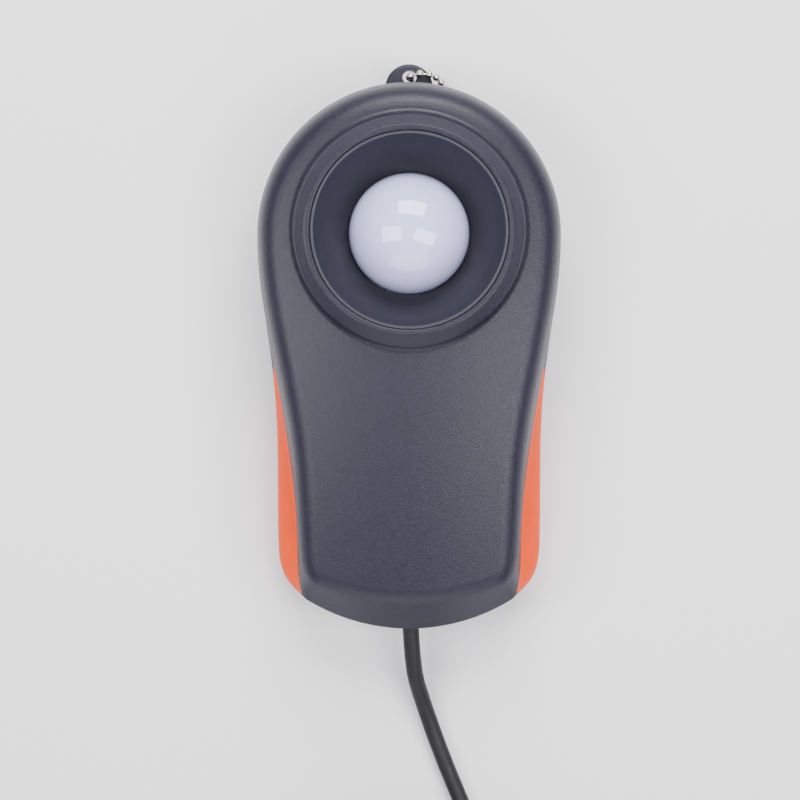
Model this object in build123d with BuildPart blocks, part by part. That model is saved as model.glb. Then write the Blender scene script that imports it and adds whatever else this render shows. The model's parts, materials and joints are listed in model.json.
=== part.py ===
from build123d import *
import math
import os

# Sensor head of a light meter, lying on its back. Millimetres.
# Z = 0 is the back face, +Z comes out of the white dome, whose axis is X = Y = 0.
# +Y points to the lug with the ball chain, and the cable leaves at the -Y end.

# ---- Driving dimensions -----------------------------------------------------

# Case: a round head that runs into a narrower handle, split at one plane
parting = 13  # height of the plane where hood and rear shell meet
parting_chamfer = 0.2  # on both shells, so that a fine groove shows where they meet
crest = 24.5  # highest point of the hood's top face, beside the collar
crest_y = -5
crown_along = 440  # radius of the top face seen from the side
crown_across = 120  # radius of the top face seen along the handle
crown_half = 34  # half width and angles that the crowned face is made over
crown_lead = math.radians(6)
crown_arc = 16
top_rounding = 5.0
hood_wall = 2.2
rear_wall = 2.6
rear_floor = 2.4
tail_radius = 38.5  # plan radius of the cable end

# Outline levels: height: (head radius, half-widths at the stations, tail corner x, tail y)
stations = (-16, -31.5, -47, -60, -69)
hood_levels = {
    parting: (30.0, (28.5, 25.6, 23.2, 22.1, 21.7), 20.2, -77.95),
    19: (29.0, (27.4, 24.4, 22.1, 21.2), 17.0, -72.0),
    25: (26.2, (24.6, 21.6, 19.9, 18.9), 14.5, -67.2),
}
rear_levels = {
    0: (24.0, (23.4, 22.4, 21.8, 21.4, 19.2), 15.8, -72.6),
    1.2: (25.3, (24.5, 23.4, 22.8, 22.4, 20.2), 16.8, -74.0),
    3: (26.9, (26.0, 24.7, 24.0, 23.7, 21.6), 18.0, -75.7),
    5.5: (28.6, (27.5, 26.0, 25.5, 25.3, 23.1), 19.6, -77.0),
    8: (29.6, (28.4, 26.7, 26.2, 26.1, 23.9), 20.6, -77.7),
    10.5: (30.0, (28.6, 26.4, 25.2, 24.7, 23.2), 20.6, -77.95),
    parting: (30.0, (28.5, 25.6, 23.2, 22.1, 21.7), 20.2, -77.95),
}

# Soft side grips, let into the rear shell
grip_thickness = 1.5
grip_front_y = -25
grip_back_y = -70.8
grip_low_z = 2.6

# Collar and the bowl inside it
bore_radius = 19.15
rim_top = 27.2
collar_radius = 22.6
collar_low = 20.5
collar_lean = 2.3  # width of the collar's leaning flank
cup_lip_radius = 19.05
cup_flange_radius = 22
cup_flange_top = 21.2
cup_flange_thickness = 1.2
cup_floor_z = 13.4
cup_hole_radius = 12.05
collar_fillet = 1.2
stake_circle = 20.6
stake_radius = 0.8
hook_half = 5  # half width of the hook at the head end

# Diffuser dome and the stack that holds it
dome_radius = 11.9
dome_centre_z = 16
dome_wall = 1.5
dome_flange_radius = 13.4
dome_flange_z = 11.9
dome_flange_thickness = 1.0
retainer_thickness = 1.6
retainer_screw_circle = 15.4

# Circuit board
board_width = 31
board_front_y = 16
board_back_y = -44
board_z = 7.0
board_thickness = 1.6
board_top = board_z + board_thickness

# Case screws: two at the shoulders and two at the tail, from the back
shoulder_screws_at = [(-19.5, -21), (19.5, -21)]
tail_screws_at = [(-15.5, -65), (15.5, -65)]  # shorter, as the hood is lower there
case_screws_at = shoulder_screws_at + tail_screws_at
shoulder_screw_length = 14.5
tail_screw_length = 13.4
shoulder_pilot_depth = 6.5
tail_pilot_depth = 3.8
screw_radius = 1.25
screw_head_radius = 2.3
screw_head_height = 1.6
counterbore_radius = 2.6
counterbore_depth = 3.0

# Light sensor and small parts
filter_low = 12.6
filter_thickness = 1.6
small_screw_radius = 0.8
board_screw_radius = 0.95
board_posts_at = [(x, y) for x in (-12.5, 12.5) for y in (12.5, -40.5)]
trimmer_at = (8, -25)
rotor_radius = 1.9
chip_at = (-5, -24)
capacitors_at = [(-5, -32), (5, -33), (10.5, -33)]
resistors_at = [(x, y) for x in (-11, 1) for y in (-15, -20, -29, -34)]
header_y = -41
wire_x = (-2.5, 0, 2.5)
wire_z = 11.2
wire_diameter = 1.1

# Lug and ball chain
lug_radius = 4.8
lug_centre_y = 29.5
lug_bottom = 6.5
lug_top = 9.0
lug_hole = (0.1, 31.7)
lug_hole_radius = 1.4
bead_diameter = 1.5
bead_pitch = 2.0
connector_radius = 1.05
chain_on_floor = bead_diameter / 2 + 0.05
connector_on_floor = connector_radius + 0.08

# Cable
cable_diameter = 3.3
cable_z = 8.5  # height of the outlet
cable_start_y = -60
grommet_radius = 2.8
outlet_inner = 75.1  # distance of the tail wall's inner face from the dome's axis
clamp_y = -67
clamp_width = 17
clamp_length = 5
clamp_screws_at = [(-5.6, clamp_y), (5.6, clamp_y)]
on_floor = cable_diameter / 2
tie_thickness = 0.5
coil_centre = (-3.6, -142.5)
coil_outer = 23.6  # plan radius of the outermost turn's centreline
coil_pitch = 3.4
turns_per_layer = 3
tie_width = 4
tie_turn = math.radians(245)
plug_axis = (29.9, 4.6)  # X and height of the plug, which lies along -Y
relief_y = -150
relief_length = 10
plug_body_length = 17
pin_radius = 1.75
sleeve_length = 5.2

os.makedirs("parts", exist_ok=True)
finished = []


def finish(part, label):
    """Name a sub-part and write it as its own file."""
    part.label = label
    export_step(part, f"parts/{label}.step")
    finished.append(label)


# ---- Shared forms -----------------------------------------------------------


def outline(height, level, inset):
    """One closed outline of the case: head arc, two flanks and the tail arc."""
    head, widths, corner_x, tail_y = level
    head -= inset
    corner_x -= inset
    radius = tail_radius - inset
    centre_y = tail_y + inset + radius
    corner = (corner_x, centre_y - math.sqrt(radius**2 - corner_x**2))
    flank = [(head, 0), *[(w - inset, y) for w, y in zip(widths, stations)], corner]
    half = math.sqrt(0.5)
    with BuildSketch(Plane.XY.offset(height)) as section:
        with BuildLine():
            ThreePointArc((0, head), (head * half, head * half), (head, 0))
            Spline(*flank, tangents=((0, -1), (corner[1] - centre_y, -corner_x)))
            RadiusArc(corner, (0, centre_y - radius), radius)
            mirror(about=Plane.YZ)
        make_face()
    return section.sketch


def lofted(levels, inset):
    """Solid through the outlines of every level, moved in by inset."""
    with BuildPart() as form:
        loft([outline(z, levels[z], inset) for z in sorted(levels)])
    return form.part


def under_crown(form, top):
    """The part of a form below the doubly curved top face."""
    centre = (0, crest_y, top - crown_along)
    drop = crown_across - math.sqrt(crown_across**2 - crown_half**2)
    edge = (crown_half, crown_along - drop)
    low = crown_along - 30
    start = Plane(centre, x_dir=(1, 0, 0), z_dir=(0, -math.cos(crown_lead), math.sin(crown_lead)))
    with BuildPart() as crown:
        with BuildSketch(start):
            with BuildLine():
                ThreePointArc(edge, (0, crown_along), (-crown_half, edge[1]))
                Polyline(edge, (crown_half, low), (-crown_half, low), (-crown_half, edge[1]))
            make_face()
        revolve(axis=Axis(centre, (1, 0, 0)), revolution_arc=crown_arc)
    return form & crown.part


def bend_radii(points):
    """Arc at each corner of a route: as large as its two runs allow."""
    radii = []
    for before, corner, after in zip(points, points[1:], points[2:]):
        run_in = Vector(*corner) - Vector(*before)
        run_out = Vector(*after) - Vector(*corner)
        half_turn = math.radians(run_in.get_angle(run_out)) / 2
        radii.append(0.45 * min(run_in.length, run_out.length) / math.tan(half_turn))
    return radii


def tube(points, diameter, name):
    """Round lead along straight runs joined by tangent arcs."""
    radii = bend_radii(points)
    with BuildPart() as lead:
        with BuildLine() as route:
            FilletPolyline(*points, radius=radii)
        path = route.wire()
        with BuildSketch(Plane(path @ 0, z_dir=path % 0)):
            Circle(diameter / 2)
        sweep(path=path)
    length = path.length
    share = lead.part.volume / (math.pi * diameter**2 / 4 * length)
    print(f"{name}: {length:.1f} mm, radii {[round(r, 1) for r in radii]}, volume share {share:.4f}")
    return lead.part


def screw(head_radius, head_height, shaft_radius, shaft_length, slot):
    """Pan-head screw with a cross recess: the head's top at the origin, shaft along -Z."""
    with BuildPart() as result:
        with BuildSketch(Plane.XY.offset(-head_height)):
            Circle(head_radius)
        extrude(amount=head_height)
        fillet(result.edges().group_by(Axis.Z)[-1], head_height * 0.4)
        with BuildSketch(Plane.XY.offset(-head_height)):
            Circle(shaft_radius)
        extrude(amount=-shaft_length)
        chamfer(result.edges().group_by(Axis.Z)[0], shaft_radius * 0.4)
        with BuildSketch(Plane.XY):
            Rectangle(slot * 4, slot)
            Rectangle(slot, slot * 4)
        extrude(amount=-head_height * 0.6, mode=Mode.SUBTRACT)
    return result.part


def box_between(low, high):
    """Rectangular block from its lowest corner to its highest."""
    with BuildPart() as block:
        Box(*[b - a for a, b in zip(low, high)], align=(Align.MIN,) * 3)
    return Pos(*low) * block.part


# ---- Hood: the upper shell, with the collar round the bowl --------------------

hood_outer = under_crown(lofted(hood_levels, 0), crest)
hood_outer = fillet(hood_outer.faces().sort_by(Axis.Z)[-1].edges(), top_rounding)
hood_outer = chamfer(hood_outer.edges().group_by(Axis.Z)[0], parting_chamfer)
hood_inner = under_crown(lofted(hood_levels, hood_wall), crest - hood_wall)

with BuildPart() as front_shell:
    add(hood_outer)
    # Collar: a flank that leans inwards to a rounded rim, with a soft crease at its foot
    with BuildSketch(Plane.XY.offset(collar_low)):
        Circle(collar_radius)
    extrude(amount=rim_top - collar_low)
    foot = front_shell.edges().filter_by(lambda e: 21 < e.center().Z < 24.6 and 130 < e.length < 150)
    fillet(foot, collar_fillet)
    chamfer(front_shell.edges().filter_by(GeomType.CIRCLE).group_by(Axis.Z)[-1], collar_lean)
    shoulder, rim = front_shell.edges().filter_by(GeomType.CIRCLE).sort_by(Axis.Z)[-2:]
    fillet(shoulder, 1.5)
    fillet(rim, 0.5)
    # Hollow, with a seat left round the bore for the sensor cup to bear on
    add(hood_inner, mode=Mode.SUBTRACT)
    with BuildSketch(Plane.XY.offset(cup_flange_top)):
        Circle(collar_radius)
    extrude(amount=crest - hood_wall - cup_flange_top + 0.8)
    with BuildSketch(Plane.XY.offset(cup_flange_top)):
        Circle(cup_flange_radius + 0.15)
    extrude(amount=-5, mode=Mode.SUBTRACT)
    with BuildSketch(Plane.XY.offset(cup_flange_top - 2)):
        Circle(bore_radius)
    extrude(amount=10, mode=Mode.SUBTRACT)
    rims = front_shell.edges().filter_by(GeomType.CIRCLE).group_by(Axis.Z)[-1]
    fillet(rims.sort_by(SortBy.RADIUS)[0], 0.45)
    # Screw bosses under the top face
    with BuildSketch(Plane.XY.offset(parting + 0.1)):
        with Locations(*case_screws_at):
            Circle(2.7)
    extrude(until=Until.NEXT)
    for places, depth in (
        (shoulder_screws_at, shoulder_pilot_depth),
        (tail_screws_at, tail_pilot_depth),
    ):
        with BuildSketch(Plane.XY.offset(parting + 0.1)):
            with Locations(*places):
                Circle(screw_radius + 0.02)
        extrude(amount=depth, mode=Mode.SUBTRACT)
    # Heat-staked pins that hold the sensor cup's flange
    with BuildSketch(Plane.XY.offset(cup_flange_top)):
        with PolarLocations(stake_circle, 3, 30):
            Circle(stake_radius)
    extrude(amount=-cup_flange_thickness)
    with BuildSketch(Plane.XY.offset(cup_flange_top - cup_flange_thickness)):
        with PolarLocations(stake_circle, 3, 30):
            Circle(stake_radius + 0.5)
    extrude(amount=-0.7, taper=20)
    # Hook at the head end that drops into the rear shell's slot
    add(box_between((-hook_half, 25.6, parting + 0.2), (hook_half, 28.4, parting + 4)))
    add(box_between((-hook_half, 25.4, 10.2), (hook_half, 26.7, parting + 1)))
    add(box_between((-hook_half, 26.2, 10.2), (hook_half, 27.7, 11.2)))
finish(front_shell.part, "front_shell")

# ---- Rear shell: the lower half, with the lug, posts and bosses ----------------

rear_outer = lofted(rear_levels, 0)
rear_outer = chamfer(rear_outer.edges().group_by(Axis.Z)[-1], parting_chamfer)
rear_inner = lofted(rear_levels, rear_wall) & box_between((-40, -90, rear_floor), (40, 40, parting))

# Zone of a side grip: everything beside the handle under a curved lower edge
with BuildPart() as grip_zone:
    with BuildSketch(Plane.YZ.offset(18)):
        with BuildLine():
            Spline(
                (grip_front_y, parting),
                (-33, 6.2),
                (-48, grip_low_z + 0.4),
                (-60, grip_low_z + 0.5),
                (grip_back_y, 5.5),
                tangents=((-0.75, -1), (-1, 0.7)),
            )
            Polyline((grip_back_y, 5.5), (grip_back_y, parting), (grip_front_y, parting))
        make_face()
    extrude(amount=15)
grip_pad = (rear_outer - lofted(rear_levels, grip_thickness)) & grip_zone.part

with BuildPart() as lug_form:
    with BuildSketch(Plane.XY.offset(lug_bottom)):
        with Locations((0, lug_centre_y - 4)):
            SlotCenterToCenter(8, 2 * lug_radius, rotation=90)
    extrude(amount=lug_top - lug_bottom)
    fillet(lug_form.edges().filter_by(Axis.Z, reverse=True), 0.7)
lug = lug_form.part

with BuildPart() as rear_shell:
    add(rear_outer)
    add(lug)
    add(rear_inner, mode=Mode.SUBTRACT)
    with BuildSketch(Plane.XY.offset(lug_bottom - 1)):
        with Locations(lug_hole):
            Circle(lug_hole_radius)
    extrude(amount=5, mode=Mode.SUBTRACT)
    # Pockets for the grips
    add(grip_pad, mode=Mode.SUBTRACT)
    add(mirror(grip_pad, about=Plane.YZ), mode=Mode.SUBTRACT)
    # Screw bosses, board posts and the cable's cradle
    with BuildSketch(Plane.XY.offset(1)):
        with Locations(*case_screws_at):
            Circle(3.2)
    extrude(amount=parting - 1)
    with BuildSketch(Plane.XY.offset(1)):
        with Locations(*board_posts_at):
            Circle(2.2)
    extrude(amount=board_z - 1)
    with BuildSketch(Plane.XY.offset(1)):
        with Locations((0, clamp_y)):
            Rectangle(clamp_width, clamp_length)
    extrude(amount=cable_z - 1)
    # Holes: case screws from the back, board screws and clamp screws from inside
    with Locations(*[Location((x, y, 0), (180, 0, 0)) for x, y in case_screws_at]):
        CounterBoreHole(screw_radius + 0.15, counterbore_radius, counterbore_depth, depth=20)
    with BuildSketch(Plane.XY.offset(board_z)):
        with Locations(*board_posts_at):
            Circle(board_screw_radius + 0.02)
    extrude(amount=-4.2, mode=Mode.SUBTRACT)
    with BuildSketch(Plane.XY.offset(cable_z)):
        with Locations(*clamp_screws_at):
            Circle(board_screw_radius + 0.02)
    extrude(amount=-5.2, mode=Mode.SUBTRACT)
    # Slot for the hood's hook
    add(
        box_between((-hook_half - 0.3, 26.9, 9.9), (hook_half + 0.3, 28.3, 11.5)),
        mode=Mode.SUBTRACT,
    )
    # Cable outlet, a flat seat for the grommet's flange and the groove the cable lies in
    with BuildSketch(Plane.XZ.offset(outlet_inner)):
        with Locations((0, cable_z)):
            Circle(grommet_radius)
    extrude(amount=8, mode=Mode.SUBTRACT)
    with BuildSketch(Plane.XZ.offset(outlet_inner)):
        with Locations((0, cable_z)):
            Circle(grommet_radius + 1)
    extrude(amount=-3, mode=Mode.SUBTRACT)
    with BuildSketch(Plane.XZ.offset(60)):
        with Locations((0, cable_z)):
            Circle(cable_diameter / 2)
    extrude(amount=14, mode=Mode.SUBTRACT)
finish(rear_shell.part, "rear_shell")

finish(grip_pad, "grip_right")
finish(mirror(grip_pad, about=Plane.YZ), "grip_left")

# ---- Sensor cup: the black bowl round the dome ---------------------------------

flange_low = cup_flange_top - cup_flange_thickness
with BuildPart() as sensor_cup:
    with BuildSketch(Plane.XZ):
        with BuildLine():
            Line((cup_hole_radius, cup_floor_z), (cup_hole_radius, cup_floor_z + 2))
            ThreePointArc((cup_hole_radius, cup_floor_z + 2), (16.8, 20.0), (18.55, rim_top - 0.5))
            Polyline(
                (18.55, rim_top - 0.5),
                (cup_lip_radius, rim_top - 0.5),
                (cup_lip_radius, cup_flange_top),
                (cup_flange_radius, cup_flange_top),
                (cup_flange_radius, flange_low),
                (18.8, flange_low),
                (17.4, 17.0),
                (17.4, cup_floor_z),
                (cup_hole_radius, cup_floor_z),
            )
        make_face()
    revolve(axis=Axis.Z)
    with BuildSketch(Plane.XY.offset(cup_floor_z)):
        with PolarLocations(retainer_screw_circle, 3, 90):
            Circle(1.9)
    extrude(amount=dome_flange_z - cup_floor_z)
    with BuildSketch(Plane.XY.offset(dome_flange_z)):
        with PolarLocations(retainer_screw_circle, 3, 90):
            Circle(small_screw_radius + 0.02)
    extrude(amount=3.2, mode=Mode.SUBTRACT)
    with BuildSketch(Plane.XY.offset(cup_flange_top)):
        with PolarLocations(stake_circle, 3, 30):
            Circle(stake_radius + 0.05)
    extrude(amount=-cup_flange_thickness, mode=Mode.SUBTRACT)
finish(sensor_cup.part, "sensor_cup")

# ---- Diffuser dome, its gasket and retainer ------------------------------------

with BuildPart() as diffuser_dome:
    with BuildSketch(Plane.XZ):
        with BuildLine():
            apex = dome_centre_z + dome_radius
            inner = dome_radius - dome_wall
            half = math.sqrt(0.5)
            Line((dome_radius, dome_flange_z + dome_flange_thickness), (dome_radius, dome_centre_z))
            ThreePointArc(
                (dome_radius, dome_centre_z),
                (dome_radius * half, dome_centre_z + dome_radius * half),
                (0, apex),
            )
            Line((0, apex), (0, apex - dome_wall))
            ThreePointArc(
                (0, apex - dome_wall),
                (inner * half, dome_centre_z + inner * half),
                (inner, dome_centre_z),
            )
            Polyline(
                (inner, dome_centre_z),
                (inner, dome_flange_z),
                (dome_flange_radius, dome_flange_z),
                (dome_flange_radius, dome_flange_z + dome_flange_thickness),
                (dome_radius, dome_flange_z + dome_flange_thickness),
            )
        make_face()
    revolve(axis=Axis.Z)
finish(diffuser_dome.part, "diffuser_dome")

gasket_low = dome_flange_z + dome_flange_thickness
with BuildPart() as dome_gasket:
    with BuildSketch(Plane.XY.offset(gasket_low)):
        Circle(dome_flange_radius)
        Circle(cup_hole_radius + 0.1, mode=Mode.SUBTRACT)
    extrude(amount=cup_floor_z - gasket_low)
finish(dome_gasket.part, "dome_gasket")

retainer_low = dome_flange_z - retainer_thickness
with BuildPart() as dome_retainer:
    with BuildSketch(Plane.XY.offset(retainer_low)):
        Circle(17.2)
        Circle(9.5, mode=Mode.SUBTRACT)
        with PolarLocations(retainer_screw_circle, 3, 90):
            Circle(small_screw_radius + 0.15, mode=Mode.SUBTRACT)
    extrude(amount=retainer_thickness)
    low_rims = dome_retainer.edges().filter_by(GeomType.CIRCLE).group_by(Axis.Z)[0]
    chamfer(low_rims.sort_by(SortBy.RADIUS)[-1], 0.4)
finish(dome_retainer.part, "dome_retainer")

small_screw = screw(1.5, 1.2, small_screw_radius, 4.2, 0.35)
with BuildPart() as retainer_screws:
    with PolarLocations(retainer_screw_circle, 3, 90):
        add(Pos(0, 0, retainer_low - 1.2) * Rot(180, 0, 0) * small_screw)
finish(retainer_screws.part, "retainer_screws")

# ---- Light sensor: filter, its holder and the photodiode in a metal can ----------

with BuildPart() as filter_holder:
    with BuildSketch(Plane.XY.offset(board_top)):
        Circle(8)
        Circle(4.9, mode=Mode.SUBTRACT)
    extrude(amount=6)
    with BuildSketch(Plane.XY.offset(filter_low)):
        Circle(6)
    extrude(amount=3, mode=Mode.SUBTRACT)
finish(filter_holder.part, "filter_holder")

with BuildPart() as colour_filter:
    with BuildSketch(Plane.XY.offset(filter_low)):
        Circle(5.9)
    extrude(amount=filter_thickness)
    chamfer(colour_filter.edges().group_by(Axis.Z)[-1], 0.2)
finish(colour_filter.part, "colour_filter")

with BuildPart() as photodiode:
    with BuildSketch(Plane.XY.offset(board_top + 0.1)):
        Circle(4.6)
    extrude(amount=0.6)
    with BuildSketch(Plane.XY.offset(board_top + 0.7)):
        Circle(4.1)
    extrude(amount=3.1)
    fillet(photodiode.edges().group_by(Axis.Z)[-1], 0.5)
    with BuildSketch(Plane.XY.offset(board_top + 2)):
        Circle(2.9)
    extrude(amount=3, mode=Mode.SUBTRACT)
    with BuildSketch(Plane.XY.offset(board_top + 2)):
        Rectangle(3, 3)
    extrude(amount=0.4)
finish(photodiode.part, "photodiode")

with BuildPart() as photodiode_window:
    with BuildSketch(Plane.XY.offset(board_top + 3)):
        Circle(2.88)
    extrude(amount=0.7)
finish(photodiode_window.part, "photodiode_window")

with BuildPart() as photodiode_leads:
    with BuildSketch(Plane.XY.offset(board_top + 0.1)):
        with PolarLocations(2.54, 3, 90):
            Circle(0.22)
    extrude(amount=-board_thickness - 1.3)
finish(photodiode_leads.part, "photodiode_leads")

# ---- Circuit board and what it carries -------------------------------------------

with BuildPart() as circuit_board:
    with BuildSketch(Plane.XY.offset(board_z)):
        with Locations((0, (board_front_y + board_back_y) / 2)):
            RectangleRounded(board_width, board_front_y - board_back_y, 2)
        with Locations(*board_posts_at):
            Circle(1.15, mode=Mode.SUBTRACT)
        with PolarLocations(2.54, 3, 90):
            Circle(0.4, mode=Mode.SUBTRACT)
    extrude(amount=board_thickness)
finish(circuit_board.part, "circuit_board")

board_screw = screw(1.9, 1.2, board_screw_radius, 5, 0.45)
with BuildPart() as board_screws:
    with Locations(*[(x, y, board_top + 1.2) for x, y in board_posts_at]):
        add(board_screw)
finish(board_screws.part, "board_screws")

with BuildPart() as trimmer_body:
    with BuildSketch(Plane.XY.offset(board_top)):
        with Locations(trimmer_at):
            Rectangle(6.8, 6.8)
    extrude(amount=3.6)
    chamfer(trimmer_body.edges().filter_by(Axis.Z), 0.5)
    with BuildSketch(Plane.XY.offset(board_top + 2.4)):
        with Locations(trimmer_at):
            Circle(rotor_radius + 0.08)
    extrude(amount=2, mode=Mode.SUBTRACT)
finish(trimmer_body.part, "trimmer_body")

with BuildPart() as trimmer_rotor:
    with BuildSketch(Plane.XY.offset(board_top + 2.45)):
        with Locations(trimmer_at):
            Circle(rotor_radius)
    extrude(amount=1.5)
    chamfer(trimmer_rotor.edges().group_by(Axis.Z)[-1], 0.2)
    with BuildSketch(Plane.XY.offset(board_top + 3.3)):
        with Locations(trimmer_at):
            Rectangle(2 * rotor_radius + 1, 0.6)
            Rectangle(0.6, 2 * rotor_radius + 1)
    extrude(amount=2, mode=Mode.SUBTRACT)
finish(trimmer_rotor.part, "trimmer_rotor")

with BuildPart() as amplifier_chip:
    with BuildSketch(Plane.XY.offset(board_top + 0.2)):
        with Locations(chip_at):
            Rectangle(3.9, 4.9)
    extrude(amount=1.5)
    chamfer(amplifier_chip.edges().group_by(Axis.Z)[-1], 0.2)
    for side in (-1, 1):
        for place in range(4):
            leg_x = chip_at[0] + side * 2.4
            leg_y = chip_at[1] + (place - 1.5) * 1.27
            with Locations((leg_x, leg_y, board_top + 0.45)):
                Box(1.2, 0.4, 0.9)
finish(amplifier_chip.part, "amplifier_chip")

with BuildPart() as capacitors:
    with BuildSketch(Plane.XY.offset(board_top)):
        with Locations(*capacitors_at):
            RectangleRounded(3.5, 2.8, 0.3)
    extrude(amount=1.9)
    fillet(capacitors.edges().group_by(Axis.Z)[-1], 0.25)
finish(capacitors.part, "capacitors")

with BuildPart() as resistors:
    with BuildSketch(Plane.XY.offset(board_top)):
        with Locations(*resistors_at):
            Rectangle(1.25, 2.0)
    extrude(amount=0.5)
finish(resistors.part, "resistors")

with BuildPart() as wire_header:
    with Locations((0, header_y, board_top)):
        Box(10, 5.4, 5, align=(Align.CENTER, Align.CENTER, Align.MIN))
    with Locations((0, header_y - 0.7, board_top + 1)):
        Box(8.4, 5.4, 3.2, align=(Align.CENTER, Align.CENTER, Align.MIN), mode=Mode.SUBTRACT)
finish(wire_header.part, "wire_header")

with BuildPart() as wire_housing:
    with Locations((0, header_y - 1.6, board_top + 1.1)):
        Box(8.2, 5.6, 3.0, align=(Align.CENTER, Align.CENTER, Align.MIN))
    with BuildSketch(Plane.XZ.offset(-header_y + 2.6)):
        with Locations(*[(x, wire_z) for x in wire_x]):
            Circle(wire_diameter / 2)
    extrude(amount=3, mode=Mode.SUBTRACT)
finish(wire_housing.part, "wire_housing")

wires = []
for x in wire_x:
    route = (
        (x, header_y - 2.6, wire_z),
        (x, header_y - 8.5, wire_z),
        (x * 0.46, cable_start_y + 4.5, cable_z + 0.2),
        (x * 0.24, cable_start_y + 0.2, cable_z),
    )
    wires.append(tube(route, wire_diameter, "inner wire"))
with BuildPart() as inner_wires:
    add(wires)
finish(inner_wires.part, "inner_wires")

# ---- Cable clamp and outlet grommet ------------------------------------------------

with BuildPart() as cable_clamp:
    with BuildSketch(Plane.XY.offset(cable_z)):
        with Locations((0, clamp_y)):
            RectangleRounded(clamp_width, clamp_length - 1, 1)
    extrude(amount=2.8)
    fillet(cable_clamp.edges().group_by(Axis.Z)[-1], 0.5)
    with BuildSketch(Plane.XZ.offset(-clamp_y - 5)):
        with Locations((0, cable_z)):
            Circle(cable_diameter / 2)
    extrude(amount=10, mode=Mode.SUBTRACT)
    with BuildSketch(Plane.XY.offset(cable_z)):
        with Locations(*clamp_screws_at):
            Circle(board_screw_radius + 0.15)
    extrude(amount=4, mode=Mode.SUBTRACT)
finish(cable_clamp.part, "cable_clamp")

clamp_screw = screw(1.7, 1.1, board_screw_radius, 6.6, 0.4)
with BuildPart() as clamp_screws:
    with Locations(*[(x, y, cable_z + 2.8 + 1.1) for x, y in clamp_screws_at]):
        add(clamp_screw)
finish(clamp_screws.part, "clamp_screws")

with BuildPart() as cable_grommet:
    with BuildSketch(Plane.XZ.offset(outlet_inner)):
        with Locations((0, cable_z)):
            Circle(grommet_radius)
    extrude(amount=5)
    add(rear_outer, mode=Mode.INTERSECT)
    with BuildSketch(Plane.XZ.offset(outlet_inner - 0.9)):
        with Locations((0, cable_z)):
            Circle(grommet_radius + 0.9)
    extrude(amount=0.9)
    with BuildSketch(Plane.XZ.offset(60)):
        with Locations((0, cable_z)):
            Circle(cable_diameter / 2)
    extrude(amount=20, mode=Mode.SUBTRACT)
finish(cable_grommet.part, "cable_grommet")

with BuildPart() as case_screws:
    for places, length in (
        (shoulder_screws_at, shoulder_screw_length),
        (tail_screws_at, tail_screw_length),
    ):
        case_screw = screw(screw_head_radius, screw_head_height, screw_radius, length, 0.6)
        for x, y in places:
            add(Pos(x, y, counterbore_depth - screw_head_height) * Rot(180, 0, 0) * case_screw)
finish(case_screws.part, "case_screws")

# ---- Ball chain: a closed loop through the lug's hole --------------------------------


def beside_head(radius, degrees, height):
    """Point beside the round head, by its angle clockwise from the lug."""
    turn = math.radians(degrees)
    return (radius * math.sin(turn), radius * math.cos(turn), height)


outer_strand = 28.9
inner_strand = 26.5
over_lug = lug_top + 1.05
chain_route = [
    (*lug_hole, (lug_top + lug_bottom) / 2),
    (0.25, 31.75, lug_top + 0.5),
    (1.7, 32.1, over_lug + 0.05),
    (3.7, 32.05, over_lug - 0.1),
    (5.3, 31.7, 8.6),
    (6.45, 30.8, 6.9),
    (7.4, 29.7, 5.1),
    (8.5, 28.5, 3.3),
    (10.0, 27.2, 1.75),
    beside_head(outer_strand, 27, 0.95),
    beside_head(outer_strand, 35, chain_on_floor),
    *[beside_head(outer_strand, degrees, connector_on_floor) for degrees in (52, 66)],
    beside_head(outer_strand, 78, chain_on_floor),
    beside_head(outer_strand + 0.4, 90, chain_on_floor),
    beside_head(outer_strand - 1.1, 94.5, chain_on_floor),
    beside_head(inner_strand + 0.35, 91, chain_on_floor),
    *[beside_head(inner_strand, degrees, chain_on_floor) for degrees in (75, 55, 35, 20)],
    (6.2, 26.7, 0.95),
    (3.6, 28.7, 1.9),
    (1.6, 30.4, 3.6),
    (0.5, 31.4, 5.6),
]
chain_line = Spline(*chain_route, periodic=True)
bead_count = round(chain_line.length / bead_pitch)
step = chain_line.length / bead_count
print(f"ball chain: {chain_line.length:.1f} mm, {bead_count} beads")
places = [
    chain_line.position_at(i * step, position_mode=PositionMode.LENGTH) for i in range(bead_count)
]
connector_first = 15  # the connector covers this bead and the next two

with BuildPart() as chain_beads:
    with Locations(*places):
        Sphere(bead_diameter / 2)
finish(chain_beads.part, "chain_beads")

links = []
for here, there in zip(places, places[1:] + places[:1]):
    towards = (there - here).normalized()
    with BuildPart() as link:
        with BuildSketch(Plane(here + towards * 0.62, z_dir=towards)):
            Circle(0.22)
        extrude(amount=(there - here).length - 1.24)
    links.append(link.part)
with BuildPart() as chain_links:
    add(links)
finish(chain_links.part, "chain_links")

first, last = places[connector_first], places[connector_first + 2]
along = (last - first).normalized()
with BuildPart() as chain_connector:
    with BuildSketch(Plane(first - along * 0.9, z_dir=along)):
        Circle(connector_radius)
        Circle(connector_radius - 0.2, mode=Mode.SUBTRACT)
    extrude(amount=(last - first).length + 1.8)
finish(chain_connector.part, "chain_connector")

# ---- Cable: a run on the surface, the coil, a short tail and the plug ---------------------

cable_route = (
    (0, cable_start_y, cable_z),
    (0, -84, cable_z),
    (3.2, -95, on_floor),
    (7.4, -106.5, on_floor),
    (13.4, -120.5, on_floor),
    (18.3, -133.7, on_floor + tie_thickness),
)
finish(tube(cable_route, cable_diameter, "cable run"), "cable_run")

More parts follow.
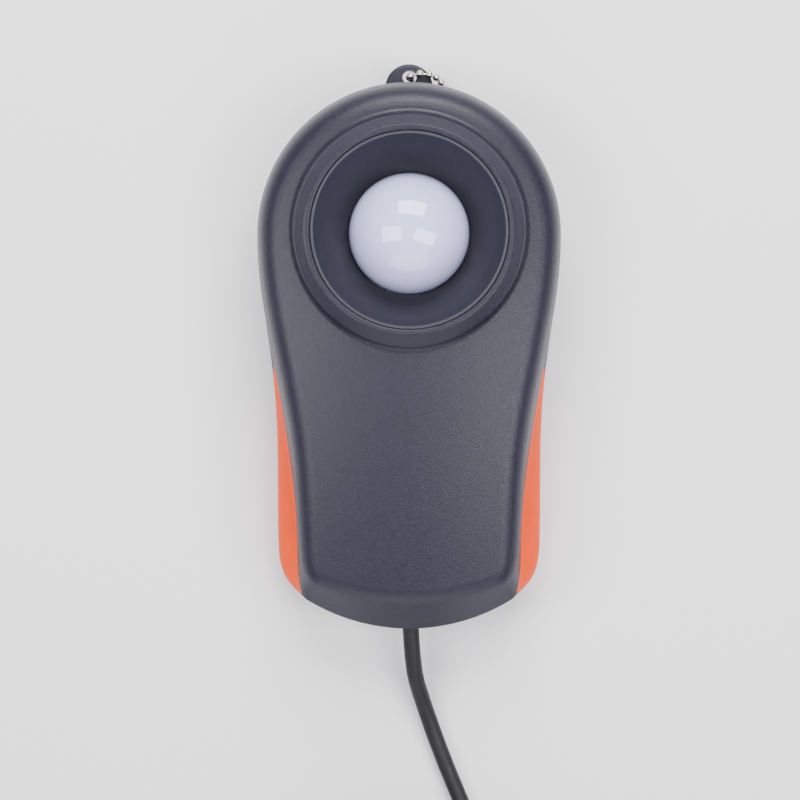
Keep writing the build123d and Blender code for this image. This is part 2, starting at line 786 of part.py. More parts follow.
coil_inner = coil_outer - turns_per_layer * coil_pitch
coil_top = tie_thickness + 3 * cable_diameter + 0.2
with BuildPart() as cable_coil:
    with BuildSketch(Plane.XY.offset(tie_thickness)):
        with Locations(coil_centre):
            Circle(coil_outer + cable_diameter / 2)
            Circle(coil_inner - cable_diameter / 2, mode=Mode.SUBTRACT)
    extrude(amount=coil_top - tie_thickness)
    fillet(cable_coil.edges().filter_by(GeomType.CIRCLE), 1.6)
finish(cable_coil.part, "cable_coil")

tail_route = (
    (4.1, -123.2, coil_top - cable_diameter / 2),
    (16.4, -126.2, coil_top - cable_diameter / 2),
    (26.2, -132.8, 5.6),
    (plug_axis[0], -143.5, 3.4),
    (plug_axis[0] + 0.1, relief_y, plug_axis[1]),
)
finish(tube(tail_route, cable_diameter, "cable tail"), "cable_tail")

# A strap tie round the bundle on the far side of the coil
with BuildPart() as cable_tie:
    across = Plane(
        origin=(*coil_centre, 0),
        x_dir=(math.cos(tie_turn), math.sin(tie_turn), 0),
        z_dir=(math.sin(tie_turn), -math.cos(tie_turn), 0),
    )
    middle = (coil_outer + coil_inner) / 2
    wide = coil_outer - coil_inner + cable_diameter
    with BuildSketch(across.offset(-tie_width / 2)):
        with Locations((middle, coil_top / 2 + tie_thickness / 2)):
            RectangleRounded(wide + 2 * tie_thickness, coil_top + tie_thickness, 2)
            RectangleRounded(wide, coil_top - tie_thickness, 1.6, mode=Mode.SUBTRACT)
    extrude(amount=tie_width)
finish(cable_tie.part, "cable_tie")

# ---- Plug: a 3.5 mm three-pole jack --------------------------------------------------


def along_plug(profile):
    """Solid of revolution about the plug's axis, from (distance from the relief's end, radius)."""
    line = Plane((plug_axis[0], relief_y, plug_axis[1]), x_dir=(0, -1, 0), z_dir=(1, 0, 0))
    with BuildPart() as turned:
        with BuildSketch(line):
            with BuildLine():
                Polyline(*profile, close=True)
            make_face()
        revolve(axis=Axis(line.origin, (0, -1, 0)))
    return turned.part


lead_radius = cable_diameter / 2
with BuildPart() as plug_relief:
    add(along_plug(((0, lead_radius), (0, 2.3), (relief_length, 3.1), (relief_length, lead_radius))))
    for place in range(4):
        start = 1.6 + 2.2 * place
        groove = ((start, 1.95), (start, 4), (start + 0.9, 4), (start + 0.9, 1.95))
        add(along_plug(groove), mode=Mode.SUBTRACT)
finish(plug_relief.part, "plug_relief")

body_start = relief_length
body_end = body_start + plug_body_length
with BuildPart() as plug_body:
    add(along_plug((
        (body_start, 0),
        (body_start, 3.6),
        (body_start + 1.4, 4.5),
        (body_end - 1.0, 4.5),
        (body_end, 3.7),
        (body_end, 0),
    )))
finish(plug_body.part, "plug_body")

pin_start = body_end
collar_length = 1.2
sleeve_end = pin_start + collar_length + sleeve_length
with BuildPart() as plug_contacts:
    add(along_plug((
        (pin_start, 0),
        (pin_start, 2.6),
        (pin_start + collar_length, 2.6),
        (pin_start + collar_length, pin_radius),
        (sleeve_end, pin_radius),
        (sleeve_end, 0),
    )))
    add(along_plug((
        (sleeve_end + 0.7, 0),
        (sleeve_end + 0.7, pin_radius),
        (sleeve_end + 3.2, pin_radius),
        (sleeve_end + 3.2, 0),
    )))
    add(along_plug((
        (sleeve_end + 3.9, 0),
        (sleeve_end + 3.9, pin_radius),
        (sleeve_end + 4.6, pin_radius),
        (sleeve_end + 5.2, 1.15),
        (sleeve_end + 6.1, 1.7),
        (sleeve_end + 7.6, 0.5),
        (sleeve_end + 7.8, 0),
    )))
finish(plug_contacts.part, "plug_contacts")

with BuildPart() as plug_insulators:
    for start in (sleeve_end, sleeve_end + 3.2):
        add(along_plug((
            (start, 0), (start, pin_radius), (start + 0.7, pin_radius), (start + 0.7, 0)
        )))
finish(plug_insulators.part, "plug_insulators")

print(f"{len(finished)} sub-parts")
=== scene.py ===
import json
import math

import bmesh
import bpy
from bpy.props import FloatProperty, FloatVectorProperty, IntProperty, PointerProperty
from mathutils import Matrix, Vector


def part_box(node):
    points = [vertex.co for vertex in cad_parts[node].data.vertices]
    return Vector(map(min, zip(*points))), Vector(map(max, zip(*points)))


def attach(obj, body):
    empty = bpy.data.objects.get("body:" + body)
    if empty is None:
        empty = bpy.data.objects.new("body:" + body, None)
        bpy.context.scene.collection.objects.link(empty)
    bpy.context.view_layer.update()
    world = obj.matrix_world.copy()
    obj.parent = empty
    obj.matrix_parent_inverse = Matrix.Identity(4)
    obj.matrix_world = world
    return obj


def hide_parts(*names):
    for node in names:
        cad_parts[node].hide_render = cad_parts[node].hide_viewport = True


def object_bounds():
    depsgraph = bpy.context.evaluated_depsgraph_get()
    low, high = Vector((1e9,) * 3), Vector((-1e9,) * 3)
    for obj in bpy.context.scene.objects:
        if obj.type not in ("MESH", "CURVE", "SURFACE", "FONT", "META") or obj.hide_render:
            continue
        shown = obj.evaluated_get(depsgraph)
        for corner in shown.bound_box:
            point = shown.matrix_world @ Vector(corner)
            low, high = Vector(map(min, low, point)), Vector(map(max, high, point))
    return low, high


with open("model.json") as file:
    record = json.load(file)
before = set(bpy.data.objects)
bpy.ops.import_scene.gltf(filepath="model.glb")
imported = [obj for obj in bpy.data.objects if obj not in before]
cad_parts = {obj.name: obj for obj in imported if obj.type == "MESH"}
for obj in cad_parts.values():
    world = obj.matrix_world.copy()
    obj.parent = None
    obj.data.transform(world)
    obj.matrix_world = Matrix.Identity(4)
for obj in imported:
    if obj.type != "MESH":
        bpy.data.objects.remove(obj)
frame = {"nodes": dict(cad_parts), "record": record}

bl_info = {
    "name": "Light Meter Sensor Head",
    "version": (1, 0, 0),
    "blender": (4, 5, 0),
    "location": "View3D > Sidebar > Light Meter",
    "description": "Dome, bowl, lead, plug, chain and finishes of a light meter's sensor head",
    "category": "Object",
}

MM = 0.001
MERGE = 0.5e-6  # corners nearer than this are one
CAD_BOX = [list(corner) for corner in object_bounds()]
NODES = frame["nodes"]
MOUNTS = {mount["name"]: mount for mount in frame["record"]["mounts"]}

# Places worked out from the frame
DOME_LOW, DOME_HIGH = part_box("diffuser_dome")
COIL_LOW, COIL_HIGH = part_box("cable_coil")
RELIEF_LOW, RELIEF_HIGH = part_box("plug_relief")
BODY_LOW, BODY_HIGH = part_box("plug_body")
PLUG_X = (BODY_LOW.x + BODY_HIGH.x) / 2
PLUG_Z = (BODY_LOW.z + BODY_HIGH.z) / 2


def srgb(code):
    """Linear RGB from an sRGB hex value such as 'FF6A22'."""
    channels = [int(code[i : i + 2], 16) / 255 for i in (0, 2, 4)]
    return tuple(c / 12.92 if c <= 0.04045 else ((c + 0.055) / 1.055) ** 2.4 for c in channels)


# ---- Settings a user would change ----------------------------------------------------


class LightMeterSizes(bpy.types.PropertyGroup):
    lead_diameter: FloatProperty(
        name="Lead diameter", description="Outside of the jacket", default=3.3 * MM, unit="LENGTH"
    )
    lead_length: FloatProperty(
        name="Lead length", description="Whole sensor lead, to the plug", default=1.0, unit="LENGTH"
    )
    coil_turns: FloatProperty(
        name="Coil turns", description="Turns of the put-away lead", default=6.85, min=1
    )
    facets: IntProperty(
        name="Facets", description="Steps round each turned piece", default=96, min=24
    )


class LightMeterColours(bpy.types.PropertyGroup):
    case: FloatVectorProperty(
        name="Case", description="Charcoal ABS", subtype="COLOR", size=3, default=srgb("1B1828")
    )
    grip: FloatVectorProperty(
        name="Grip", description="Orange elastomer", subtype="COLOR", size=3, default=srgb("E84600")
    )
    dome: FloatVectorProperty(
        name="Dome", description="Opal acrylic", subtype="COLOR", size=3, default=srgb("CBCBF8")
    )


# ---- Helpers for pieces --------------------------------------------------------------


def mesh_from(work, name, smooth=True):
    """Finish a bmesh as a named mesh with its faces pointing outwards."""
    bmesh.ops.remove_doubles(work, verts=work.verts, dist=MERGE)
    bmesh.ops.recalc_face_normals(work, faces=work.faces)
    mesh = bpy.data.meshes.new(name)
    work.to_mesh(mesh)
    work.free()
    if smooth:
        mesh.shade_smooth()
    return mesh


def new_piece(name, data, body, replaced, material):
    """Put finished data in the scene as a piece that rides on a body and stands for CAD nodes."""
    piece = bpy.data.objects.new(name, data)
    bpy.context.scene.collection.objects.link(piece)
    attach(piece, body)
    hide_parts(*replaced)
    data.materials.append(material)
    return piece


def turned(name, profile, axis=(0, 0, 1), centre=(0, 0, 0)):
    """Mesh of a closed (radius, distance) outline spun about an axis through centre."""
    work = bmesh.new()
    corners = [work.verts.new((radius, 0, along)) for radius, along in profile]
    edges = [work.edges.new(pair) for pair in zip(corners, corners[1:] + corners[:1])]
    bmesh.ops.spin(
        work,
        geom=corners + edges,
        cent=(0, 0, 0),
        axis=(0, 0, 1),
        angle=2 * math.pi,
        steps=bpy.context.scene.meter_sizes.facets,
        use_merge=True,
    )
    turn = Vector((0, 0, 1)).rotation_difference(Vector(axis)).to_matrix().to_4x4()
    bmesh.ops.transform(work, matrix=Matrix.Translation(centre) @ turn, verts=work.verts)
    bmesh.ops.dissolve_degenerate(work, dist=1e-7, edges=work.edges)
    return mesh_from(work, name)


def arc(centre, radius, start, end, steps):
    """Points of a round stretch of an outline, angles in degrees."""
    angles = [math.radians(start + (end - start) * i / steps) for i in range(steps + 1)]
    return [(centre[0] + radius * math.cos(a), centre[1] + radius * math.sin(a)) for a in angles]


# ---- Materials -----------------------------------------------------------------------


NOISE_LOW, NOISE_HIGH = 0.3, 0.7  # most of a noise's values lie between these


def add_node(tree, kind, settings=None, **links):
    """Add a shader node. Settings are its attributes or input values, and links are its inputs,
    by name or as _index."""
    node = tree.nodes.new(kind)
    for name, value in (settings or {}).items():
        if hasattr(node, name):
            setattr(node, name, value)
        else:
            node.inputs[int(name) if name.isdigit() else name].default_value = value
    for name, source in links.items():
        key = int(name[1:]) if name[1:].isdigit() else name.replace("_", " ")
        tree.links.new(source, node.inputs[key])
    return node


def finish_of(name, colour, roughness, **values):
    """Start a material: a Principled shader with plain values, and object coordinates."""
    material = bpy.data.materials.new(name)
    material.use_nodes = True
    tree = material.node_tree
    shader = tree.nodes["Principled BSDF"]
    shader.inputs["Base Color"].default_value = (*colour, 1)
    shader.inputs["Roughness"].default_value = roughness
    for key, value in values.items():
        shader.inputs[key.replace("_", " ")].default_value = value
    place = tree.nodes.new("ShaderNodeTexCoord").outputs["Object"]
    return material, tree, shader, place


def vary(tree, shader, place, colours, roughness, size):
    """Blend two colours and two roughnesses with one noise, size the breadth of its blotches."""
    noise = add_node(
        tree,
        "ShaderNodeTexNoise",
        {"Scale": 1 / size, "Detail": 3.0, "Roughness": 0.6},
        Vector=place,
    )
    mix = add_node(
        tree,
        "ShaderNodeMix",
        {"data_type": "RGBA", "6": (*colours[0], 1), "7": (*colours[1], 1)},
        _0=noise.outputs["Fac"],
    )
    tree.links.new(mix.outputs[2], shader.inputs["Base Color"])
    rough = add_node(
        tree,
        "ShaderNodeMapRange",
        {
            "From Min": NOISE_LOW,
            "From Max": NOISE_HIGH,
            "To Min": roughness[0],
            "To Max": roughness[1],
        },
        Value=noise.outputs["Fac"],
    )
    tree.links.new(rough.outputs["Result"], shader.inputs["Roughness"])


def bump(tree, shader, height, strength, distance):
    """Bump from a height output, distance in metres."""
    node = add_node(
        tree, "ShaderNodeBump", {"Strength": strength, "Distance": distance}, Height=height
    )
    tree.links.new(node.outputs["Normal"], shader.inputs["Normal"])


def shade(colour, factor):
    """A linear colour made darker or lighter."""
    return tuple(min(c * factor, 1.0) for c in colour)


def grain(tree, shader, place, size, depth, strength):
    """Moulded or drawn surface grain as a bump: breadth and depth in metres."""
    noise = add_node(
        tree,
        "ShaderNodeTexNoise",
        {"Scale": 1 / size, "Detail": 1.0, "Roughness": 0.5},
        Vector=place,
    )
    bump(tree, shader, noise.outputs["Fac"], strength, depth)


def spark_eroded_abs(name, colour):
    """ABS moulded in a spark-eroded tool: an even matt grain 0.35 mm across that glints as small
    specks where the light skims it, with slight cloudiness from handling."""
    material, tree, shader, place = finish_of(name, colour, 0.42, IOR=1.42)
    tones = (shade(colour, 0.75), shade(colour, 1.3))
    vary(tree, shader, place, tones, (0.38, 0.47), 0.8 * MM)
    grain(tree, shader, place, 0.35 * MM, 0.06 * MM, 0.8)
    return material


def satin_abs(name, colour):
    """ABS or nylon from a finely stoned tool: smoother than the case, with a trace of grain."""
    material, tree, shader, place = finish_of(name, colour, 0.5, IOR=1.5)
    tones = (shade(colour, 0.92), shade(colour, 1.08))
    vary(tree, shader, place, tones, (0.46, 0.56), 2.5 * MM)
    grain(tree, shader, place, 0.25 * MM, 0.02 * MM, 0.25)
    return material


def grip_elastomer(name, colour):
    """Thermoplastic elastomer: saturated and even, a soft satin with no sharp highlights."""
    material, tree, shader, place = finish_of(name, colour, 0.58, IOR=1.34)
    tones = (shade(colour, 0.9), shade(colour, 1.08))
    vary(tree, shader, place, tones, (0.54, 0.64), 4 * MM)
    grain(tree, shader, place, 0.3 * MM, 0.02 * MM, 0.2)
    return material


def opal_acrylic(name, colour):
    """Opal acrylic, polished: light scatters under the surface, so shading is soft and bluish,
    and the clear skin gives sharp reflections."""
    material, tree, shader, place = finish_of(
        name,
        colour,
        0.05,
        IOR=1.49,
        Subsurface_Weight=0.3,
        Subsurface_Scale=1.5 * MM,
        Coat_Weight=1.0,
        Coat_Roughness=0.02,
    )
    shader.inputs["Subsurface Radius"].default_value = (1.0, 0.95, 0.9)
    vary(tree, shader, place, (shade(colour, 0.97), shade(colour, 1.03)), (0.04, 0.06), 15 * MM)
    return material


def plated_metal(name, colour, roughness):
    """Nickel, zinc, gold or brass on a small part: a mirror with fine handling scratches."""
    material, tree, shader, place = finish_of(name, colour, roughness, Metallic=1.0)
    gloss = (roughness * 0.7, roughness * 1.4)
    vary(tree, shader, place, (shade(colour, 0.92), colour), gloss, 1.4 * MM)
    grain(tree, shader, place, 0.5 * MM, 0.01 * MM, 0.1)
    return material


def pvc_jacket(name, colour):
    """Soft PVC or rubber: matt black with a dusty low sheen, a little wavy from extrusion."""
    material, tree, shader, place = finish_of(name, colour, 0.5, IOR=1.45)
    tones = (shade(colour, 0.8), shade(colour, 1.2))
    vary(tree, shader, place, tones, (0.48, 0.62), 2 * MM)
    grain(tree, shader, place, 2.8 * MM, 0.05 * MM, 0.3)
    return material


def solder_mask(name, colour):
    """Fibreglass board under green solder mask: glossy, with copper tracks showing through."""
    material, tree, shader, place = finish_of(name, colour, 0.25, IOR=1.5, Coat_Weight=0.4)
    tracks = add_node(
        tree,
        "ShaderNodeTexBrick",
        {
            "Scale": 1 / (3.8 * MM),
            "Mortar Size": 0.04,
            "Color1": (*colour, 1),
            "Color2": (*shade(colour, 0.92), 1),
            "Mortar": (*shade(colour, 1.9), 1),
        },
        Vector=place,
    )
    tree.links.new(tracks.outputs["Color"], shader.inputs["Base Color"])
    bump(tree, shader, tracks.outputs["Fac"], 0.3, 0.03 * MM)
    return material


def clear_glass(name, colour):
    """Polished flat glass, coloured through or clear, with faint ripples."""
    material, tree, shader, place = finish_of(
        name, colour, 0.03, IOR=1.52, Transmission_Weight=0.85
    )
    grain(tree, shader, place, 8 * MM, 0.01 * MM, 0.02)
    return material


MATERIALS = {}


def make_materials():
    colours = bpy.context.scene.meter_colours
    case = tuple(colours.case)
    MATERIALS.update(
        hood=spark_eroded_abs("hood_abs_spark_eroded", case),
        # The rear shell takes the case colour made darker (0.92): painted shade, so its walls come
        # out darker than the hood.
        rear=spark_eroded_abs("rear_shell_abs_spark_eroded_painted_shade", shade(case, 0.92)),
        cup=satin_abs("bowl_abs_satin", srgb("292732")),
        grip=grip_elastomer("grip_elastomer_orange", tuple(colours.grip)),
        dome=opal_acrylic("dome_acrylic_opal", tuple(colours.dome)),
        jacket=pvc_jacket("lead_pvc_black", srgb("0D0B10")),
        moulding=satin_abs("plug_moulding_black", srgb("141418")),
        nylon=satin_abs("nylon_black", srgb("1B1B1E")),
        seal=pvc_jacket("seal_rubber_black", srgb("0E0E10")),
        nickel=plated_metal("nickel_bright", srgb("D2CDC6"), 0.16),
        zinc=plated_metal("zinc_plate", srgb("C3C6CA"), 0.32),
        gold=plated_metal("gold_flash", srgb("D9B45A"), 0.22),
        brass=plated_metal("brass_turned", srgb("C9A75C"), 0.3),
        board=solder_mask("board_solder_mask_green", srgb("12472A")),
        filter=clear_glass("filter_glass_green", srgb("8FC7A8")),
        window=clear_glass("window_glass_clear", srgb("E8F0F2")),
        epoxy=satin_abs("epoxy_package_black", srgb("1C1C1E")),
        tantalum=satin_abs("tantalum_yellow", srgb("CF9B2A")),
        trimmer=satin_abs("trimmer_blue", srgb("1F55A8")),
        natural=satin_abs("nylon_natural", srgb("D8D3C2")),
        wire=pvc_jacket("wire_insulation_red", srgb("A8241C")),
    )


CARRIED = {
    "front_shell": "hood",
    "rear_shell": "rear",
    "grip_left": "grip",
    "grip_right": "grip",
    "sensor_cup": "cup",
    "diffuser_dome": "dome",
    "dome_gasket": "seal",
    "dome_retainer": "nylon",
    "retainer_screws": "zinc",
    "colour_filter": "filter",
    "filter_holder": "nylon",
    "photodiode": "gold",
    "photodiode_window": "window",
    "photodiode_leads": "gold",
    "circuit_board": "board",
    "board_screws": "zinc",
    "trimmer_body": "trimmer",
    "trimmer_rotor": "brass",
    "amplifier_chip": "epoxy",
    "capacitors": "tantalum",
    "resistors": "epoxy",
    "wire_header": "natural",
    "wire_housing": "natural",
    "inner_wires": "wire",
    "cable_clamp": "nylon",
    "clamp_screws": "zinc",
    "cable_grommet": "seal",
    "case_screws": "zinc",
    "chain_beads": "nickel",
    "chain_links": "nickel",
    "chain_connector": "nickel",
    "cable_run": "jacket",
    "cable_coil": "jacket",
    "cable_tail": "jacket",
    "cable_tie": "nylon",
    "plug_body": "moulding",
    "plug_relief": "moulding",
    "plug_contacts": "nickel",
    "plug_insulators": "epoxy",
}


class METER_OT_finishes(bpy.types.Operator):
    """Make every material and give each carried-over part its own"""

    bl_idname = "meter.finishes"
    bl_label = "Finishes"

    def execute(self, context):
        make_materials()
        for name, node in NODES.items():
            node.data.materials.clear()
            node.data.materials.append(MATERIALS[CARRIED[name]])
            node.data.shade_smooth()
        return {"FINISHED"}


# ---- Stage ---------------------------------------------------------------------------


# Each light's name, tilt and bearing in degrees, size in metres, watts and distance in metres
LIGHTS = (
    ("window_head", 48, 84, (0.50, 0.30), 6.2, 0.6),
    ("window_left", 34, 184, (0.28, 0.42), 3.2, 0.6),
    ("window_right", 31, -16, (0.24, 0.46), 3.4, 0.6),
    ("panel_tail", 68, -90, (2.0, 1.4), 22.0, 1.6),
)
LIT_POINT = (0, -0.015, 0.02)  # where every light points, near the middle of the head
SKY_COLOUR = (0.84, 0.84, 1.0)
SKY_STRENGTH = 0.25
FLOOR_REACH = 2.5  # from the middle of the floor to its edge
CAMERA_PLACE = (-0.0018, -0.0327, 0.492)
FOCAL_LENGTH = 109.1  # millimetres, on a sensor 36 mm wide


def window_light(name, tilt, bearing, size, power, distance):
    """Rectangular soft light, tilt degrees off the vertical towards a bearing from +X."""
    lean, turn = math.radians(tilt), math.radians(bearing)
    aside = math.sin(lean)
    towards = Vector((aside * math.cos(turn), aside * math.sin(turn), math.cos(lean)))
    data = bpy.data.lights.new(name, "AREA")
    data.shape = "RECTANGLE"
    data.size, data.size_y = size
    data.energy = power
    lamp = bpy.data.objects.new(name, data)
    lamp.location = Vector(LIT_POINT) + towards * distance
    lamp.rotation_euler = (-towards).to_track_quat("-Z", "Y").to_euler()
    bpy.context.scene.collection.objects.link(lamp)


class METER_OT_stage(bpy.types.Operator):
    """Pale floor, soft window lights and the camera straight above"""

    bl_idname = "meter.stage"
    bl_label = "Stage"

    def execute(self, context):
        work = bmesh.new()
        bmesh.ops.create_grid(work, x_segments=1, y_segments=1, size=FLOOR_REACH)
        bmesh.ops.translate(work, verts=work.verts, vec=(0, 0, CAD_BOX[0][2]))
        floor = bpy.data.objects.new("floor", mesh_from(work, "floor", smooth=False))
        context.scene.collection.objects.link(floor)
        floor.data.materials.append(finish_of("floor_pale", srgb("EEEEF1"), 0.9)[0])

        for light in LIGHTS:
            window_light(*light)
        world = bpy.data.worlds.new("studio")
        world.use_nodes = True
        sky = world.node_tree.nodes["Background"]
        sky.inputs["Color"].default_value = (*SKY_COLOUR, 1)
        sky.inputs["Strength"].default_value = SKY_STRENGTH
        context.scene.world = world

        camera = bpy.data.cameras.new("camera")
        camera.sensor_width = 36
        camera.lens = FOCAL_LENGTH
        camera.clip_start = 0.01
        view = bpy.data.objects.new("camera", camera)
        view.location = CAMERA_PLACE
        context.scene.collection.objects.link(view)
        context.scene.camera = view
        return {"FINISHED"}


# ---- Lead ----------------------------------------------------------------------------


def coil_points(centre, outer, pitch, per_layer, turns, first_height, per_turn=14):
    """Control points of a coil wound inwards, outwards and inwards again, layer on layer."""
    inner = outer - pitch * per_layer
    spread = 1 / math.cos(math.pi / per_turn)  # the curve runs inside its control points
    entry = math.radians(22)  # where the lead joins the coil
    climb = 0.3  # part of a turn over which it rises to the next layer
    layer_rise = 3.35 * MM
    points = []
    for step in range(round(turns * per_turn) + 1):
        turned_by = step / per_turn
        layer = turned_by / per_layer
        inward = 1 - abs(layer - 1) if layer < 2 else layer - 2
        radius = (outer - (outer - inner) * inward) * spread
        climbed = sum(min(max((turned_by - per_layer * k) / climb + 0.5, 0), 1) for k in (1, 2))
        angle = entry - 2 * math.pi * turned_by
        points.append(
            (
                centre[0] + radius * math.cos(angle),
                centre[1] + radius * math.sin(angle),
                first_height + climbed * layer_rise,
            )
        )
    return points


class METER_OT_dome(bpy.types.Operator):
    """Opal dome: a thin polished half ball on a short wall, with a flange to clamp it by"""

    bl_idname = "meter.dome"
    bl_label = "Dome"

    def execute(self, context):
        flange_radius = DOME_HIGH.x
        flange = 1.5 * MM  # how far it stands out from the wall
        radius = flange_radius - flange
        wall = 1.5 * MM
        centre = DOME_HIGH.z - radius
        shelf = DOME_LOW.z + 1.0 * MM  # top of the flange
        root = 0.3 * MM  # fillet between the wall and the flange
        edge = 0.2 * MM  # rounding of the flange's rim
        steepest, steps = 88, 44  # the last ring in degrees, and the rings of the half ball
        profile = [(0, DOME_HIGH.z), *arc((0, centre), radius, steepest, 0, steps)]
        profile += [(radius, shelf + root)]
        profile += arc((radius + root, shelf + root), root, 190, 260, 4)
        profile += arc((flange_radius - edge, shelf - edge), edge, 90, 0, 3)
        profile += [(flange_radius, DOME_LOW.z), (radius - wall, DOME_LOW.z)]
        profile += arc((0, centre), radius - wall, 0, steepest, steps)
        profile += [(0, DOME_HIGH.z - wall)]
        new_piece(
            "dome",
            turned("dome", profile),
            "housing",
            ("diffuser_dome",),
            MATERIALS["dome"],
        )
        return {"FINISHED"}


def along_plug(name, profile):
    """Mesh turned about the plug's axis, outline in (radius, distance from the relief's end)."""
    centre = (PLUG_X, RELIEF_HIGH.y, PLUG_Z)
    return turned(name, profile, axis=(0, -1, 0), centre=centre)


class METER_OT_plug(bpy.types.Operator):
    """Jack plug: ribbed strain relief, moulded body with a grip waist and nickel contacts"""

    bl_idname = "meter.plug"
    bl_label = "Plug"

    def execute(self, context):
        bore = context.scene.meter_sizes.lead_diameter / 2
        length = RELIEF_HIGH.y - RELIEF_LOW.y
        ribs = 4
        lead_in = 1.0 * MM  # plain mouth before the first rib
        pitch = (length - lead_in - 0.2 * MM) / ribs
        slimmest, stoutest = 2.35 * MM, 2.95 * MM  # the first rib and the last
        waist = 1.98 * MM  # bottom of each groove
        foot = 3.05 * MM  # where it meets the plug's body
        profile = [(bore, 0), (2.15 * MM, 0), (2.3 * MM, 0.15 * MM)]
        for rib in range(ribs):
            start = lead_in + rib * pitch
            swell = slimmest + (stoutest - slimmest) * rib / (ribs - 1)
            profile += [
                (swell, start),
                (swell - 0.12 * MM, start + 0.16 * pitch),
                (waist, start + 0.3 * pitch),
                (waist, start + 0.62 * pitch),
                (swell - 0.05 * MM, start + 0.76 * pitch),
                (swell + 0.04 * MM, start + 0.9 * pitch),
            ]
        profile += [(foot, length - 0.1 * MM), (foot, length), (bore, length)]
        new_piece(
            "plug_strain_relief",
            along_plug("plug_strain_relief", profile),
            "housing",
            ("plug_relief",),
            MATERIALS["moulding"],
        )

        start, end = length, length + BODY_HIGH.y - BODY_LOW.y
        wide = (BODY_HIGH.x - BODY_LOW.x) / 2
        neck, neck_rounding = 3.3 * MM, 0.6 * MM
        shoulder = 0.8 * MM  # rounding where the body reaches its full width
        end_rounding = 0.9 * MM
        plain = 4.0 * MM  # smooth stretch at each end of the grooves
        profile = [(0, start), (neck, start)]
        profile += arc((neck, start + neck_rounding), neck_rounding, -70, -20, 4)
        profile += arc((wide - shoulder, start + 2.0 * MM), shoulder, -40, 0, 4)
        profile += [(wide, start + 3.0 * MM)]
        grip_start, grip_end = start + plain, end - plain
        grooves = 6
        groove_depth = 0.35 * MM
        step = (grip_end - grip_start) / grooves
        for groove in range(grooves):
            low = grip_start + groove * step
            profile += [
                (wide, low),
                (wide - groove_depth, low + 0.25 * step),
                (wide - groove_depth, low + 0.45 * step),
                (wide, low + 0.7 * step),
            ]
        profile += [(wide, end - 2.0 * MM)]
        profile += arc((wide - end_rounding, end - end_rounding), end_rounding, 0, 80, 6)
        profile += [(2.6 * MM, end), (0, end)]
        new_piece(
            "plug_grip",
            along_plug("plug_grip", profile),
            "housing",
            ("plug_body",),
            MATERIALS["moulding"],
        )

        pin = MOUNTS["plug_pin"]["dims"]["r_mm"] * MM
        rim = 2.6 * MM  # the collar that stops against a socket
        collar = end + 1.2 * MM
        sleeve = collar + 5.2 * MM
        ring_start, ring_end = sleeve + 0.7 * MM, sleeve + 3.2 * MM
        tip_start, tip_waist = sleeve + 3.9 * MM, sleeve + 4.6 * MM
        # The tip's waist, bulge and point: radius, and distance past the sleeve, in millimetres
        tip = (
            (1.2, 5.2),
            (1.3, 5.5),
            (1.65, 5.95),
            (1.66, 6.2),
            (1.35, 6.8),
            (0.8, 7.4),
            (0.35, 7.75),
            (0, 7.8),
        )
        contacts = (
            ("plug_sleeve", [
                (0, end),
                (2.5 * MM, end),
                (rim, end + 0.1 * MM),
                (rim, collar - 0.15 * MM),
                (2.45 * MM, collar),
                (pin, collar),
                (pin, sleeve),
                (0, sleeve),
            ]),
            ("plug_ring", [(0, ring_start), (pin, ring_start), (pin, ring_end), (0, ring_end)]),
            ("plug_tip", [
                (0, tip_start),
                (pin, tip_start),
                (pin, tip_waist),
                *((across * MM, sleeve + along * MM) for across, along in tip),
            ]),
        )
        for name, outline in contacts:
            new_piece(
                name,
                along_plug(name, outline),
                "housing",
                ("plug_contacts",),
                MATERIALS["nickel"],
            )
        return {"FINISHED"}


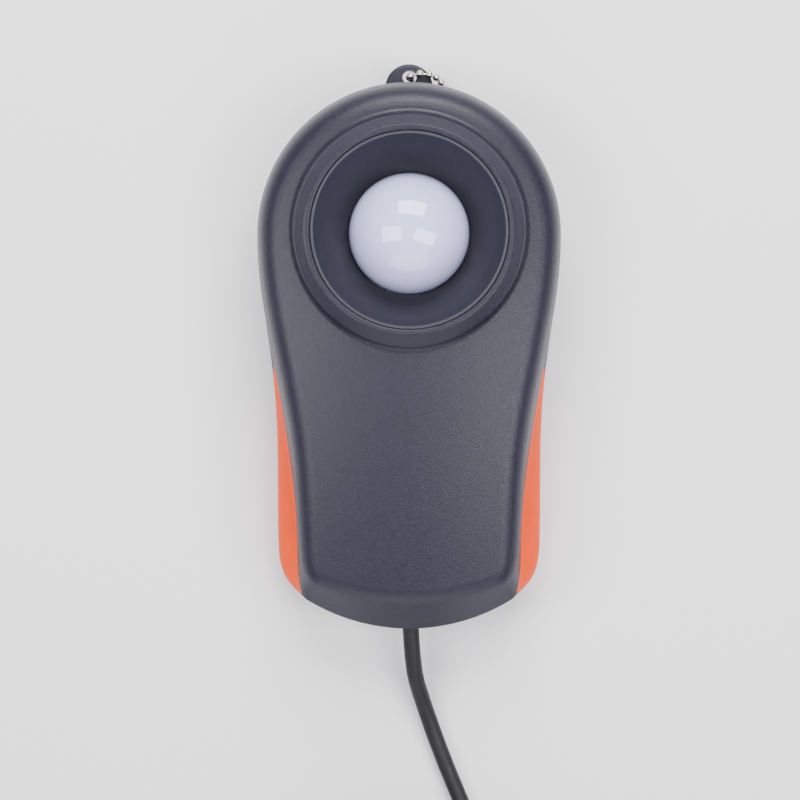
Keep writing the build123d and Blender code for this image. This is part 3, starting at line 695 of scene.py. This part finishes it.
class METER_OT_lead(bpy.types.Operator):
    """Black round lead: out of the head, over the table, into its coil and on to the plug"""

    bl_idname = "meter.lead"
    bl_label = "Lead"

    def execute(self, context):
        sizes = context.scene.meter_sizes
        radius = sizes.lead_diameter / 2
        outer = (COIL_HIGH.x - COIL_LOW.x) / 2 - radius
        # Heights of its centre in the outlet, on the table and in the plug, in millimetres
        outlet, on_table, plug = 8.5, 1.65, 4.6
        run = [
            (0, -60, outlet),
            (0, -84, outlet),
            (3.2, -95, on_table),
            (7.4, -106.5, on_table),
            (13.4, -120.5, on_table),
        ]
        tail = [
            (16.4, -126.2, 8.95),
            (26.2, -132.8, 5.6),
            (29.9, -143.5, 3.4),
            (29.9, -150, plug),
            (29.9, -157, plug),
        ]
        route = [tuple(v * MM for v in p) for p in run]
        centre = (COIL_LOW + COIL_HIGH) / 2
        low = COIL_LOW.z + radius
        route += coil_points(centre, outer, 3.4 * MM, 3, sizes.coil_turns, low)
        route += [tuple(v * MM for v in p) for p in tail]
        curve = bpy.data.curves.new("lead", "CURVE")
        curve.dimensions = "3D"
        curve.bevel_depth = 1.0  # times each point's radius
        curve.bevel_resolution = 6
        curve.use_fill_caps = True
        spline = curve.splines.new("NURBS")
        spline.points.add(len(route) - 1)
        for point, place in zip(spline.points, route):
            point.co = (*place, 1)
            point.radius = radius
        spline.order_u = 3
        spline.use_endpoint_u = True
        spline.resolution_u = 6
        replaced = ("cable_run", "cable_coil", "cable_tail")
        lead = new_piece("lead", curve, "housing", replaced, MATERIALS["jacket"])
        return {"FINISHED"}


# ---- Panel and registration ----------------------------------------------------------

STEPS = (
    METER_OT_stage,
    METER_OT_finishes,
    METER_OT_dome,
    METER_OT_plug,
    METER_OT_lead,
)


class METER_PT_panel(bpy.types.Panel):
    """Everything the sensor head is made with, in order"""

    bl_idname = "METER_PT_panel"
    bl_label = "Light Meter"
    bl_space_type = "VIEW_3D"
    bl_region_type = "UI"
    bl_category = "Light Meter"

    def draw(self, context):
        for group in (context.scene.meter_sizes, context.scene.meter_colours):
            for name in group.__annotations__:
                self.layout.prop(group, name)
        for step in STEPS:
            self.layout.operator(step.bl_idname)


CLASSES = (LightMeterSizes, LightMeterColours, *STEPS, METER_PT_panel)


def register():
    for cls in CLASSES:
        bpy.utils.register_class(cls)
    bpy.types.Scene.meter_sizes = PointerProperty(type=LightMeterSizes)
    bpy.types.Scene.meter_colours = PointerProperty(type=LightMeterColours)


def unregister():
    del bpy.types.Scene.meter_colours
    del bpy.types.Scene.meter_sizes
    for cls in reversed(CLASSES):
        bpy.utils.unregister_class(cls)


def main():
    register()
    for step in STEPS:
        area, name = step.bl_idname.split(".")
        getattr(getattr(bpy.ops, area), name)()
    bpy.context.view_layer.update()


if __name__ == "__main__":
    main()
